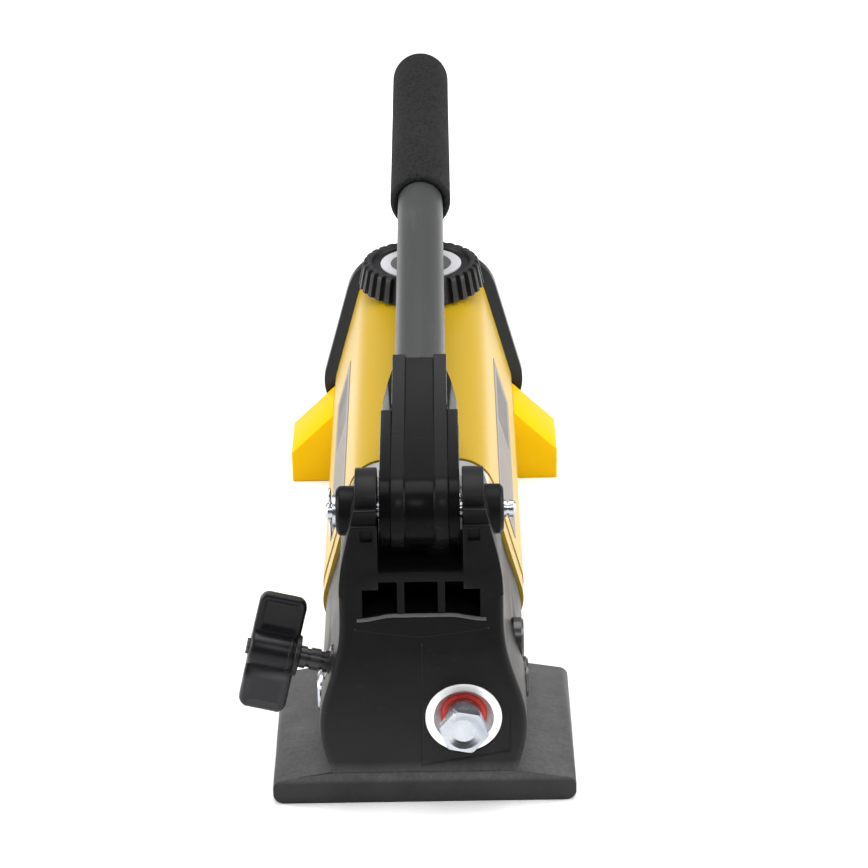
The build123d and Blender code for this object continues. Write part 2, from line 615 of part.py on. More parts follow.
def build_release_knob():
    """Moulded knob: round hub, inner collar and two wings."""
    wings = knob_wing() + Rot(0, 0, 180) * knob_wing()
    knob = rod_z(7.2, KNOB_IN, KNOB_OUT) + rod_z(8.4, KNOB_IN, KNOB_IN + 2.4) + wings
    knob -= rod_z(3.2, KNOB_IN - 1, KNOB_OUT + 1)
    knob -= rod_z(STEM_R, KNOB_IN - 1, KNOB_IN + 1)
    knob -= rod_y(KNOB_PIN_R, KNOB_PIN_IN, 12, 0, KNOB_PIN_Z)
    return release_frame(Rot(0, 0, KNOB_TURN) * knob)


def build_knob_pin():
    """Pin driven from the rear through the knob's hub into the stem."""
    return release_frame(Rot(0, 0, KNOB_TURN) * rod_y(KNOB_PIN_R, KNOB_PIN_IN, 6.9, 0, KNOB_PIN_Z))


def build_release_gland():
    """Threaded gland round the stem, proud of the wall."""
    gland = rod_z(7.2, GLAND_IN, 0) + rod_z(6.4, 0, 1.8)
    gland -= rod_z(STEM_R + RUNNING, GLAND_IN - 1, 3)
    return release_frame(gland - rod_z(6.0, GLAND_IN - 1, GLAND_IN + 2.4))


def build_release_o_ring():
    """Seal between the stem and the gland."""
    return release_frame(ring_z(STEM_R + RUNNING, 6.0, GLAND_IN, GLAND_IN + 2.2))


def build_release_ball():
    """Ball that the needle presses on its seat."""
    return release_frame(Pos(0, 0, STEM_NOSE - 3.05) * Sphere(3.0))


# ---------------------------------------------------------------- reservoir
def build_reservoir_shell():
    """Yellow shell, open at both ends, with the filler neck and the foot's bosses."""
    inside = section_prism(RES_FRONT - 1, RES_REAR + 1, -RES_WALL)
    shell = section_prism(RES_FRONT, RES_REAR) - inside
    shell += rod_z(NECK_R + NECK_WALL, RES_TOP - 9, RES_TOP - 1, 0, CAP_Y)
    shell -= rod_z(NECK_R, RES_TOP - 10, RES_TOP + 1, 0, CAP_Y)
    for x, y in REAR_SCREWS:
        shell += rod_z(6.0, RES_BOTTOM + 1, RES_BOTTOM + 11, x, y)
        shell -= rod_z(3.0, RES_BOTTOM - 1, RES_BOTTOM + 9, x, y)
    return shell


def section_ring(y0, y1, outer, inner):
    """Flat gasket of the reservoir's outline."""
    return section_prism(y0, y1, outer) - section_prism(y0 - 1, y1 + 1, inner)


def build_end_cap():
    """Black end cap with a rim all round and a spigot in the shell."""
    cap = section_prism(END_FLANGE, END_REAR, RIM)
    rear_rim = cap.edges().group_by(Axis.Y)[-1]
    cap = fillet(rear_rim, 3.0)
    cap += section_prism(RES_REAR - 3, END_FLANGE + 1, -RES_WALL - 0.3)
    cap += rod_y(14, END_REAR - 1, END_REAR + 3, 0, TIE_Z)
    cap -= rod_z(CAP_LOW_R + 0.6, CAP_SEAT - 0.8, CAP_TOP, 0, CAP_Y)
    cap -= rod_z(NECK_R + NECK_WALL + 0.5, RES_TOP - 10, CAP_SEAT, 0, CAP_Y)
    return cap - rod_y(TIE_R + 0.2, RES_REAR - 8, END_REAR + 4, 0, TIE_Z)


def build_tie_rod():
    """Long rod that draws the end cap on to the shell."""
    return rod_y(TIE_R, HEAD_REAR - 8, END_REAR + 11, 0, TIE_Z)


def build_tie_rod_nut():
    """Nut and washer behind the end cap."""
    washer = ring_y(TIE_R, 8.5, END_REAR + 3, END_REAR + 4.6, 0, TIE_Z)
    nut = Pos(0, END_REAR + 10.6, TIE_Z) * Rot(90, 0, 0) * extrude(RegularPolygon(7.5, 6), 6.0)
    nut -= rod_y(TIE_R, END_REAR, END_REAR + 20, 0, TIE_Z)
    return Compound([washer, nut])


def build_suction_tube():
    """Pipe from the bulkhead into the oil."""
    return ring_y(2.8, 4.0, HEAD_REAR - 8, 214, SUCTION_X, SUCTION_Z)


def build_suction_strainer():
    """Mesh cartridge on the end of the suction pipe."""
    body = rod_y(8.0, 206, 246, SUCTION_X, SUCTION_Z)
    body -= rod_y(6.8, 208, 244, SUCTION_X, SUCTION_Z)
    return body - rod_y(4.0, 200, 209, SUCTION_X, SUCTION_Z)


def build_label():
    """Film strip on the leaning side of the reservoir."""
    film = section_prism(*LABEL_Y, LABEL_T) - section_prism(LABEL_Y[0] - 1, LABEL_Y[1] + 1)
    return film & block(0, 80, *LABEL_Y, *LABEL_Z)


# ---------------------------------------------------------------- rear foot
def build_rear_foot():
    """Saddle under the reservoir with two low wings."""
    y0, y1 = REAR_FOOT_Y
    wing_x = REAR_FOOT_HALF - (REAR_FOOT_TOP - REAR_FOOT_EDGE) / tan(radians(REAR_FOOT_SLOPE))
    half = [(REAR_FOOT_HALF, 0), (REAR_FOOT_HALF, REAR_FOOT_EDGE), (wing_x, REAR_FOOT_TOP)]
    outline = polygon(*half, *[(-x, z) for x, z in reversed(half)])
    foot = front_prism(outline, y0, y1)
    foot -= section_prism(y0 - 1, y1 + 1)
    foot -= mirrored(block(32, REAR_FOOT_HALF - 5, y0 + 4, y1 - 4, -1, 9))
    for x, y in REAR_SCREWS:
        foot -= rod_z(3.3, -1, RES_BOTTOM + 1, x, y) + rod_z(6.2, -1, 7, x, y)
    return foot


def build_rear_foot_screws():
    """Two socket screws from below."""
    screws = []
    for x, y in REAR_SCREWS:
        head = rod_z(5.0, 2.0, 7.0, x, y) - Pos(x, y, 1.9) * extrude(RegularPolygon(2.6, 6), 2.6)
        screws.append(head + rod_z(3.0, 7.0, RES_BOTTOM + 7, x, y))
    return Compound(screws)


# ---------------------------------------------------------------- filler cap
def build_filler_cap():
    """Ribbed screw cap, hollow on top, with a spigot in the neck."""
    height = CAP_TOP - CAP_SEAT
    cap = Pos(0, CAP_Y, CAP_SEAT + height / 2) * Cone(CAP_LOW_R - 1.5, CAP_TOP_R - 1.5, height)
    slope = atan((CAP_LOW_R - CAP_TOP_R) / height)
    half_x = (CAP_LOW_R + CAP_TOP_R) / 2 - 1.0
    rib = Rot(0, -degrees(slope), 0) * Box(2.0, 2.5, height - 1.2)
    rib = Pos(half_x, 0, CAP_SEAT + height / 2) * rib
    for i in range(CAP_RIBS):
        cap += Pos(0, CAP_Y, 0) * Rot(0, 0, i * 360 / CAP_RIBS) * rib
    cap -= rod_z(22.7, CAP_TOP - 2.0, CAP_TOP + 1, 0, CAP_Y)
    cap += rod_z(NECK_R - 0.4, RES_TOP - 11, CAP_SEAT + 1, 0, CAP_Y)
    return cap - rod_z(NECK_R - 2.4, RES_TOP - 12, CAP_TOP - 5, 0, CAP_Y)


def build_cap_ring():
    """Light ring laid in the top of the cap."""
    return ring_z(14.2, 18.9, CAP_TOP - 2.0, CAP_TOP - 1.4, 0, CAP_Y)


def build_cap_disc():
    """Plain disc in the middle of the ring."""
    return rod_z(14.2, CAP_TOP - 2.0, CAP_TOP - 1.6, 0, CAP_Y)


def build_cap_gasket():
    """Seal under the cap."""
    return ring_z(NECK_R + 0.2, NECK_R + 3.4, RES_TOP, CAP_SEAT, 0, CAP_Y)


# ---------------------------------------------------------------- all nodes
def build_all():
    """Every node by name."""
    label = build_label()
    nodes = {
        "head_casing": build_head_casing(),
        "casing_screws": build_casing_screws(),
        "pump_block": build_pump_block(),
        "bulkhead": build_bulkhead(),
        "gland_nut": build_gland_nut(),
        "wiper_seal": ring_z(ROD_R + 0.02, 9.5, GLAND_TOP - 3, GLAND_TOP + 0.4, 0, PISTON_Y),
        "high_pressure_seal": ring_z(SMALL_R + 0.02, 8.0, 38.6, 41.6, 0, PISTON_Y),
        "port_plug": build_port_plug(),
        "port_seal": build_port_seal(),
        "piston": build_piston(),
        "low_pressure_seal": ring_z(10.0, BIG_R + 0.02, BIG_Z + 2.5, BIG_Z + 6.0, 0, PISTON_Y),
        "lever_beam": build_lever_beam(),
        "lever_tube": build_lever_tube(),
        "tube_roll_pin": build_tube_roll_pin(),
        "lever_grip": build_lever_grip(),
        "piston_pin": build_piston_pin(),
        "piston_pin_clips": build_piston_pin_clips(),
        "fulcrum_pin": build_fulcrum_pin(),
        "fulcrum_washer": ring_x(PIN_R + 0.1, 6.4, -BOSS_OUTER - 1.2, -BOSS_OUTER, 0, PIVOT_Z),
        "cotter_pin": build_cotter_pin(),
        "release_stem": build_release_stem(),
        "release_knob": build_release_knob(),
        "knob_pin": build_knob_pin(),
        "release_gland": build_release_gland(),
        "release_o_ring": build_release_o_ring(),
        "release_ball": build_release_ball(),
        "front_gasket": section_ring(PLATE_REAR, RES_FRONT, -0.8, -RES_WALL - 0.3),
        "reservoir_shell": build_reservoir_shell(),
        "rear_gasket": section_ring(RES_REAR, END_FLANGE, -0.8, -RES_WALL - 0.3),
        "end_cap": build_end_cap(),
        "tie_rod": build_tie_rod(),
        "tie_rod_nut": build_tie_rod_nut(),
        "suction_tube": build_suction_tube(),
        "suction_strainer": build_suction_strainer(),
        "label_right": label,
        "label_left": mirror(label, about=Plane.YZ),
        "rear_foot": build_rear_foot(),
        "rear_foot_screws": build_rear_foot_screws(),
        "filler_cap": build_filler_cap(),
        "cap_ring": build_cap_ring(),
        "cap_disc": build_cap_disc(),
        "cap_gasket": build_cap_gasket(),
    }
    for name, valve in VALVES.items():
        nodes.update(valve_parts(name, *valve))
    return nodes


if __name__ == "__main__":
    os.makedirs("parts", exist_ok=True)
    for name, shape in build_all().items():
        save(name, shape)
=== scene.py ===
"""Looks of the two-speed hand pump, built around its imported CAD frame. Metres."""
import json
import math
import random

import bmesh
import bpy
from mathutils.bvhtree import BVHTree
from mathutils import Matrix, Vector


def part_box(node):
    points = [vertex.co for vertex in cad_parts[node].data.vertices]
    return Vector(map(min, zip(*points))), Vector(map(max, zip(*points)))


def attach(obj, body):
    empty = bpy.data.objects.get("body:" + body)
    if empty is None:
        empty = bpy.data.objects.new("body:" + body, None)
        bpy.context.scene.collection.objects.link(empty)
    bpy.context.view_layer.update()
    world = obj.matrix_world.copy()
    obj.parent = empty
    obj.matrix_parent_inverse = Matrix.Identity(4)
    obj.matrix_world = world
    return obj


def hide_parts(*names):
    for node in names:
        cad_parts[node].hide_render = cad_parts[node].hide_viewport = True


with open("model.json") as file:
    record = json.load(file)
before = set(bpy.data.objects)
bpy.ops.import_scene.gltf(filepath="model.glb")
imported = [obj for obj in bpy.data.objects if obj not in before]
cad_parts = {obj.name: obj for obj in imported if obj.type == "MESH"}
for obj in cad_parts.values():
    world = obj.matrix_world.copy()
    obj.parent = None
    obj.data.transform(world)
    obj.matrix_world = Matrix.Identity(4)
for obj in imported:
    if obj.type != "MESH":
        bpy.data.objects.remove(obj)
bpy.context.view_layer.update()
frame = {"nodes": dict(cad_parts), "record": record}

SCENE = bpy.context.scene
NODES = frame["nodes"]
SLOT_OF = {part["node"]: part["material_slot"] for part in frame["record"]["subparts"]}
BODY_OF = {
    node: body
    for body, nodes in frame["record"]["behaviour"]["bodies"].items()
    for node in nodes
}

MM = 0.001
TAU = 2 * math.pi

# Places as in the CAD, in mm and degrees
PIVOT_Z = 119.0
LEVER_TILT = 0.8                    # rise of the stowed lever towards its grip
KNOB_SEAT = (-36.0, 5.0, 49.6)      # where the release stem leaves the casing
KNOB_TILT = 14.0                    # rise of the stem away from the casing
KNOB_TURN = 12.0                    # turn of the wings about the stem
PLUG_SEAT = (15.8, -25.5, 37.0)     # washer face of the outlet plug
PLUG_TURN = -11.0
COTTER_X = -34.6
FILLER_Y = 291.0
WINDOW_SILL = 80.0                  # highest solid front of the casing below its windows
AHEAD = -60.0                       # y well in front of the casing

RESERVOIR_YELLOW = (0.37, 0.232, 0.0035)


# ---------------------------------------------------------------- node helpers
class Shader:
    """A material under construction: nodes are added and linked by name."""

    def __init__(self, name):
        material = bpy.data.materials.new(name)
        material.use_nodes = True
        self.take(material)

    @classmethod
    def on(cls, material):
        """Go on working on a finished material."""
        shader = cls.__new__(cls)
        shader.take(material)
        return shader

    def take(self, material):
        self.material = material
        self.tree = material.node_tree
        self.bsdf = self.tree.nodes["Principled BSDF"]
        self.place = self.node("ShaderNodeTexCoord").outputs["Object"]
        self.relief = None

    def node(self, kind, links=(), **settings):
        made = self.tree.nodes.new(kind)
        for key, value in settings.items():
            setattr(made, key, value)
        for socket, source in links:
            if isinstance(source, bpy.types.NodeSocket):
                self.tree.links.new(source, made.inputs[socket])
            else:
                made.inputs[socket].default_value = source
        return made

    def set(self, **values):
        """Constants straight on the surface shader."""
        for key, value in values.items():
            self.bsdf.inputs[key.replace("_", " ")].default_value = value

    def link(self, source, socket):
        self.tree.links.new(source, self.bsdf.inputs[socket])

    def base(self):
        """Whatever feeds the base colour so far."""
        return self.bsdf.inputs["Base Color"].links[0].from_socket

    def along(self, axis):
        """Object coordinate along one axis."""
        return self.node("ShaderNodeSeparateXYZ", [("Vector", self.place)]).outputs[axis]

    def stretched(self, scale):
        """Object coordinates scaled by axis."""
        made = self.node("ShaderNodeMapping", [("Vector", self.place), ("Scale", scale)])
        return made.outputs["Vector"]

    def noise(self, scale, detail=2.0, rough=0.5, place=None, distortion=0.0):
        made = self.node(
            "ShaderNodeTexNoise",
            [("Vector", place or self.place), ("Scale", scale), ("Detail", detail),
             ("Roughness", rough), ("Distortion", distortion)])
        return made.outputs["Fac"]

    def cells(self, scale, feature="F1", place=None):
        made = self.node("ShaderNodeTexVoronoi", [("Vector", place or self.place), ("Scale", scale)],
                         feature=feature)
        return made.outputs["Distance"]

    def ramp(self, source, low, high, to_low=0.0, to_high=1.0):
        """Map low..high of a value to to_low..to_high, clamped."""
        made = self.node(
            "ShaderNodeMapRange",
            [("Value", source), ("From Min", low), ("From Max", high),
             ("To Min", to_low), ("To Max", to_high)])
        return made.outputs["Result"]

    def math(self, operation, first, second=0.5):
        return self.node("ShaderNodeMath", [(0, first), (1, second)], operation=operation).outputs[0]

    def mix(self, factor, first, second):
        """Blend of two colours."""
        made = self.node("ShaderNodeMix", data_type="RGBA")
        for index, source in ((0, factor), (6, first), (7, second)):
            if isinstance(source, bpy.types.NodeSocket):
                self.tree.links.new(source, made.inputs[index])
            else:
                made.inputs[index].default_value = source
        return made.outputs[2]

    def bump(self, height, distance, strength=1.0):
        """Stack one more bump on the surface; distance is in metres."""
        links = [("Height", height), ("Distance", distance), ("Strength", strength)]
        if self.relief is not None:
            links.append(("Normal", self.relief))
        self.relief = self.node("ShaderNodeBump", links).outputs["Normal"]
        self.link(self.relief, "Normal")

    def edges(self, low=0.53, high=0.60):
        """One on convex edges, zero on flat faces."""
        point = self.node("ShaderNodeNewGeometry").outputs["Pointiness"]
        return self.ramp(point, low, high)


def rgba(colour, gain=1.0):
    """Linear colour with alpha."""
    return tuple(min(channel * gain, 1.0) for channel in colour) + (1.0,)


def plastic(name, colour, rough, grain=1600.0, depth=0.03, mottle=0.25, wear=0.35, coat=0.0,
            gloss=0.4):
    """Moulded plastic: fine eroded grain, faint flow mottling, scuffs and paler worn edges."""
    shader = Shader(name)
    flow = shader.noise(22.0, 4.0, 0.6, shader.stretched((1.0, 0.45, 1.0)), 0.6)
    flecks = shader.noise(420.0, 3.0, 0.7)
    scuffs = shader.ramp(shader.noise(70.0, 6.0, 0.75, shader.stretched((1.0, 6.0, 2.5))), 0.60, 0.74)
    body = shader.mix(shader.ramp(flow, 0.35, 0.65), rgba(colour, 1 - mottle), rgba(colour, 1 + mottle))
    body = shader.mix(shader.ramp(flecks, 0.3, 0.7, 0.0, 0.10), body, rgba(colour, 2.2))
    pale = tuple(0.75 * channel + 0.035 for channel in colour)
    body = shader.mix(shader.math("MULTIPLY", shader.edges(), wear), body, rgba(pale, 1.6))
    body = shader.mix(shader.math("MULTIPLY", scuffs, 0.16), body, rgba(pale, 1.5))
    shader.link(body, "Base Color")
    mottled = shader.ramp(flow, 0.3, 0.7, rough - 0.05, rough + 0.06)
    shader.link(shader.math("ADD", mottled, shader.math("MULTIPLY", scuffs, 0.12)), "Roughness")
    shader.bump(shader.noise(grain, 2.0, 0.6), depth * MM, 0.5)
    shader.bump(shader.noise(90.0, 2.0, 0.4), 0.10 * MM, 0.18)
    shader.set(IOR=1.49, Specular_IOR_Level=gloss, Coat_Weight=coat, Coat_Roughness=0.12)
    return shader.material


def casing_dust_and_painted_light(name, colour, rough):
    """Casing plastic: paler towards the ground as a painted reflection of the floor; a lighter foot,
    its front a painted floor reflection and its top painted light, with dust specks.
    """
    reflection_from, reflection_to = 0.068, 0.018
    foot_from, foot_to = 0.0185, 0.0125
    edge_low, edge_high = 0.0088, 0.0106
    material = plastic(name, colour, rough, gloss=0.07, wear=0.6)
    shader = Shader.on(material)
    height = shader.along("Z")
    clean = shader.base()
    specks = shader.noise(520.0, 5.0, 0.8)
    clouds = shader.noise(45.0, 4.0, 0.65)
    # Foot colours: the front is a painted reflection of the floor, the lighter top is painted light
    # from above, not wear.
    front = shader.mix(shader.ramp(clouds, 0.3, 0.7), (0.034, 0.033, 0.034, 1.0),
                       (0.050, 0.048, 0.050, 1.0))
    lit_top = shader.mix(shader.ramp(clouds, 0.3, 0.7), (0.075, 0.075, 0.077, 1.0),
                       (0.115, 0.114, 0.116, 1.0))
    dust = shader.mix(shader.ramp(height, edge_low, edge_high), front, lit_top)
    # Painted floor reflection: the casing's colour gets paler towards the ground.
    ragged = shader.math("ADD", height, shader.ramp(clouds, 0.3, 0.7, -0.004, 0.004))
    pale = shader.ramp(ragged, reflection_from, reflection_to)
    clean = shader.mix(pale, clean, (0.027, 0.026, 0.027, 1.0))
    # Dust specks over the painted light of the foot.
    dust = shader.mix(shader.ramp(specks, 0.35, 0.7, 0.0, 0.6), dust, (0.045, 0.045, 0.046, 1.0))
    wavy = shader.math("ADD", height, shader.ramp(clouds, 0.3, 0.7, -0.0008, 0.0008))
    foot = shader.ramp(wavy, foot_from, foot_to)
    shader.link(shader.mix(foot, clean, dust), "Base Color")
    return material


def painted_light_below(material, height, pale):
    """Paler base colour below a height of the piece at rest, with a short blend: painted light on the
    lower side of a dark moulding.
    """
    blend = 0.003
    shader = Shader.on(material)
    low = shader.ramp(shader.along("Z"), height, height - blend)
    shader.link(shader.mix(low, shader.base(), pale), "Base Color")
    return material


def lacquer(name, colour, rough, warm, gloss):
    """Coloured satin plastic or paint: orange peel, slow tone changes, patches of dust."""
    shader = Shader(name)
    slow = shader.noise(9.0, 3.0, 0.5, shader.stretched((1.0, 0.35, 1.0)))
    dust = shader.ramp(shader.noise(160.0, 5.0, 0.72, None, 0.4), 0.60, 0.80)
    body = shader.mix(shader.ramp(slow, 0.3, 0.7), rgba(colour), rgba(warm))
    body = shader.mix(shader.math("MULTIPLY", dust, 0.10), body, (0.36, 0.30, 0.18, 1.0))
    worn = shader.math("MULTIPLY", shader.edges(0.52, 0.60), 0.25)
    body = shader.mix(worn, body, rgba(colour, 1.25))
    shader.link(body, "Base Color")
    shader.link(shader.ramp(slow, 0.3, 0.7, rough - 0.04, rough + 0.05), "Roughness")
    shader.bump(shader.noise(260.0, 1.0, 0.5), 0.05 * MM, 0.25)
    shader.bump(shader.noise(1500.0, 2.0, 0.6), 0.012 * MM, 0.4)
    shader.set(IOR=1.5, Specular_IOR_Level=gloss)
    return shader.material


def metal(name, colour, rough, direction=(1.0, 1.0, 1.0), tint=None, pits=0.0, lines=0.02):
    """Metal with fine tool lines along one axis, cloudy roughness and small dings."""
    shader = Shader(name)
    strokes = shader.noise(900.0, 3.0, 0.7, shader.stretched(direction))
    cloud = shader.noise(60.0, 4.0, 0.6)
    dull = tuple(0.72 * channel for channel in colour)
    body = shader.mix(shader.ramp(cloud, 0.35, 0.7), rgba(colour), rgba(tint or dull))
    body = shader.mix(shader.ramp(strokes, 0.45, 0.75, 0.0, 0.35), body, rgba(dull))
    shader.link(body, "Base Color")
    shader.link(shader.ramp(cloud, 0.3, 0.7, rough - 0.06, rough + 0.10), "Roughness")
    shader.bump(strokes, lines * MM, 0.5)
    if pits:
        shader.bump(shader.cells(700.0), pits * MM, 0.4)
    shader.set(Metallic=1.0)
    return shader.material


def painted_bulkhead(name, bare, paint):
    """Machined aluminium with the reservoir's colour on its low outer sides."""
    side_from, side_to = 0.0270, 0.0285
    paint_from, paint_to = 0.0930, 0.0915
    material = metal(name, bare, 0.36, (1.0, 0.08, 1.0))
    shader = Shader.on(material)
    aside = shader.ramp(shader.math("ABSOLUTE", shader.along("X")), side_from, side_to)
    low = shader.ramp(shader.along("Z"), paint_from, paint_to)
    painted = shader.math("MULTIPLY", low, aside)
    machined = shader.base()
    speckle = shader.noise(160.0, 5.0, 0.72)
    coat = shader.mix(shader.ramp(speckle, 0.5, 0.8), rgba(paint), rgba(paint, 1.1))
    shader.link(shader.mix(painted, machined, coat), "Base Color")
    shader.link(shader.ramp(painted, 0.0, 1.0, 1.0, 0.0), "Metallic")
    return material


def coated_tube(name, colour):
    """Satin powder coat drawn along the tube, with a fine pebble and rubbed streaks."""
    shader = Shader(name)
    streaks = shader.noise(130.0, 4.0, 0.7, shader.stretched((1.0, 0.03, 1.0)))
    rubbed = shader.ramp(shader.noise(30.0, 5.0, 0.7, shader.stretched((2.0, 0.4, 2.0))), 0.55, 0.75)
    body = shader.mix(shader.ramp(streaks, 0.35, 0.7), rgba(colour, 0.88), rgba(colour, 1.14))
    body = shader.mix(shader.math("MULTIPLY", rubbed, 0.12), body, (0.20, 0.20, 0.20, 1.0))
    shader.link(body, "Base Color")
    shader.link(shader.ramp(streaks, 0.3, 0.7, 0.36, 0.46), "Roughness")
    shader.bump(shader.noise(1100.0, 2.0, 0.6), 0.02 * MM, 0.45)
    shader.bump(streaks, 0.02 * MM, 0.3)
    shader.set(IOR=1.5, Specular_IOR_Level=0.35)
    return shader.material


def foam(name, colour):
    """Closed-cell foam rubber: open skin pores of two sizes, soft sheen, handling marks."""
    shader = Shader(name)
    pores = shader.cells(620.0, place=shader.stretched((1.0, 0.8, 1.0)))
    fine = shader.cells(1700.0)
    handled = shader.noise(26.0, 4.0, 0.6)
    body = shader.mix(shader.ramp(pores, 0.05, 0.55), rgba(colour, 0.35), rgba(colour, 1.1))
    body = shader.mix(shader.ramp(handled, 0.45, 0.75, 0.0, 0.14), body, rgba(colour, 1.9))
    shader.link(body, "Base Color")
    shader.link(shader.ramp(handled, 0.3, 0.7, 0.92, 0.74), "Roughness")
    shader.bump(pores, 0.14 * MM, 0.55)
    shader.bump(fine, 0.05 * MM, 0.5)
    shader.set(IOR=1.45, Specular_IOR_Level=0.08)
    return shader.material


def rubber(name, colour, rough=0.5):
    """Seal rubber with a fine bloom."""
    shader = Shader(name)
    bloom = shader.noise(240.0, 4.0, 0.65)
    pale = tuple(channel + 0.05 for channel in colour)
    body = shader.mix(shader.ramp(bloom, 0.45, 0.75, 0.0, 0.4), rgba(colour), rgba(pale))
    shader.link(body, "Base Color")
    shader.link(shader.ramp(bloom, 0.3, 0.7, rough - 0.05, rough + 0.1), "Roughness")
    shader.bump(shader.noise(900.0), 0.02 * MM, 0.4)
    shader.set(IOR=1.5)
    return shader.material


def printed_film(name, colour):
    """Silvery film with plain printed panels and rules, no lettering."""
    shader = Shader(name)
    low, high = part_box("label_right")
    along = shader.ramp(shader.along("Y"), low.y, high.y)
    across = shader.ramp(shader.along("Z"), low.z, high.z)

    def band(value, start, end):
        above = shader.math("GREATER_THAN", value, start)
        return shader.math("MULTIPLY", above, shader.math("LESS_THAN", value, end))

    panel = shader.math("MULTIPLY", band(along, 0.58, 0.95), band(across, 0.14, 0.86))
    rows = shader.math("FRACT", shader.math("MULTIPLY", across, 9.0), 0.0)
    bars = shader.math("MULTIPLY", band(along, 0.06, 0.52), band(rows, 0.35, 0.62))
    bars = shader.math("MULTIPLY", bars, band(across, 0.12, 0.88))
    tone = shader.noise(35.0, 3.0, 0.6)
    film = shader.mix(shader.ramp(tone, 0.3, 0.7), rgba(colour, 0.9), rgba(colour, 1.15))
    film = shader.mix(shader.math("MULTIPLY", panel, 0.75), film, (0.060, 0.055, 0.055, 1.0))
    film = shader.mix(shader.math("MULTIPLY", bars, 0.6), film, (0.075, 0.070, 0.070, 1.0))
    shader.link(film, "Base Color")
    shader.link(shader.ramp(tone, 0.3, 0.7, 0.42, 0.56), "Roughness")
    shader.bump(shader.noise(300.0), 0.02 * MM, 0.3)
    shader.set(IOR=1.5, Specular_IOR_Level=0.2)
    return shader.material


def woven_mesh(name, colour):
    """Fine brass gauze."""
    shader = Shader(name)
    threads = [("Vector", shader.place), ("Scale", 420.0)]
    warp = shader.node("ShaderNodeTexWave", threads, bands_direction="Y").outputs["Fac"]
    weft = shader.node("ShaderNodeTexWave", threads, bands_direction="Z").outputs["Fac"]
    weave = shader.math("MAXIMUM", warp, weft)
    body = shader.mix(shader.ramp(weave, 0.5, 0.95), rgba(colour, 0.2), rgba(colour))
    shader.link(body, "Base Color")
    shader.bump(weave, 0.15 * MM, 0.8)
    shader.set(Metallic=1.0, Roughness=0.4)
    return shader.material


def build_materials():
    """One finished material for each slot of the record, and one for the bulkhead."""
    fine = {"grain": 2200.0, "depth": 0.02}
    smooth = {"depth": 0.01, "mottle": 0.15}
    return {
        "casing_black": casing_dust_and_painted_light("casing_black", (0.0055, 0.0055, 0.0057), 0.37),
        "lever_black": plastic("lever_black", (0.0042, 0.0042, 0.0045), 0.25, gloss=0.05, **fine),
        "filler_black": plastic("filler_black", (0.014, 0.014, 0.015), 0.40, gloss=0.2, **fine),
        # Knob paler on its lower wing: painted light.
        "knob_black": painted_light_below(
            plastic("knob_black", (0.0065, 0.0065, 0.0080), 0.30, gloss=0.2, **smooth),
            0.0490, (0.055, 0.053, 0.057, 1.0)),
        "end_cap_black": plastic("end_cap_black", (0.004, 0.004, 0.005), 0.22, coat=0.2,
                                 gloss=0.2, **smooth),
        "disc_grey": plastic("disc_grey", (0.075, 0.075, 0.08), 0.5, grain=1400.0, depth=0.05),
        "ring_light": plastic("ring_light", (0.46, 0.46, 0.48), 0.5, wear=0.1, **smooth),
        "reservoir_yellow": lacquer("reservoir_yellow", RESERVOIR_YELLOW, 0.36,
                                    (0.40, 0.258, 0.0060), gloss=0.45),
        "foot_yellow": lacquer("foot_yellow", (0.66, 0.375, 0.0005), 0.42,
                               (0.69, 0.40, 0.0015), gloss=0.04),
        "tube_grey": coated_tube("tube_grey", (0.031, 0.0325, 0.032)),
        "grip_foam": foam("grip_foam", (0.0160, 0.0160, 0.0168)),
        "aluminium": metal("aluminium", (0.96, 0.96, 0.95), 0.36, (1.0, 0.08, 1.0)),
        "bulkhead_paint": painted_bulkhead("bulkhead_paint", (0.84, 0.84, 0.83), RESERVOIR_YELLOW),
        "zinc_steel": metal("zinc_steel", (0.50, 0.52, 0.55), 0.26, (1.0, 5.0, 1.0),
                            (0.36, 0.39, 0.45), 0.02),
        "hard_steel": metal("hard_steel", (0.70, 0.71, 0.72), 0.14, (1.0, 1.0, 8.0), lines=0.006),
        "black_steel": plastic("black_steel", (0.014, 0.014, 0.016), 0.26, wear=0.6, **smooth),
        "seal_red": rubber("seal_red", (0.72, 0.035, 0.022), 0.40),
        "seal_dark": rubber("seal_dark", (0.015, 0.015, 0.015)),
        "label_film": printed_film("label_film", (0.20, 0.18, 0.165)),
        "mesh_brass": woven_mesh("mesh_brass", (0.68, 0.50, 0.22)),
    }


MATERIALS = build_materials()


def dress_nodes():
    """Give every CAD node the finished material of its slot, the bulkhead its own."""
    own_look = {"bulkhead": "bulkhead_paint"}
    for name, node in NODES.items():
        look = own_look.get(name, SLOT_OF[name])
        node.data.materials.clear()
        node.data.materials.append(MATERIALS[look])


# ---------------------------------------------------------------- piece helpers
def finish_piece(piece, body, slot, *replaced):
    """Material, slot, body and the CAD nodes that the piece stands for."""
    if not piece.data.materials:
        piece.data.materials.append(MATERIALS[slot])
    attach(piece, body)
    if replaced:
        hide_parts(*replaced)
    return piece


def mesh_object(name, mesh_data):
    """New object from a bmesh, which is freed."""
    mesh = bpy.data.meshes.new(name)
    mesh_data.to_mesh(mesh)
    mesh_data.free()
    piece = bpy.data.objects.new(name, mesh)
    SCENE.collection.objects.link(piece)
    return piece


def smooth_by_angle(piece, degrees=32.0):
    """Smooth faces, with edges sharper than the angle kept crisp."""
    for face in piece.data.polygons:
        face.use_smooth = True
    piece.data.set_sharp_from_angle(angle=math.radians(degrees))


def place_piece(bm, name, place, degrees):
    """Smoothed piece from a bmesh that was built in its own axes."""
    bmesh.ops.recalc_face_normals(bm, faces=bm.faces)
    bm.transform(place)
    piece = mesh_object(name, bm)
    smooth_by_angle(piece, degrees)
    return piece


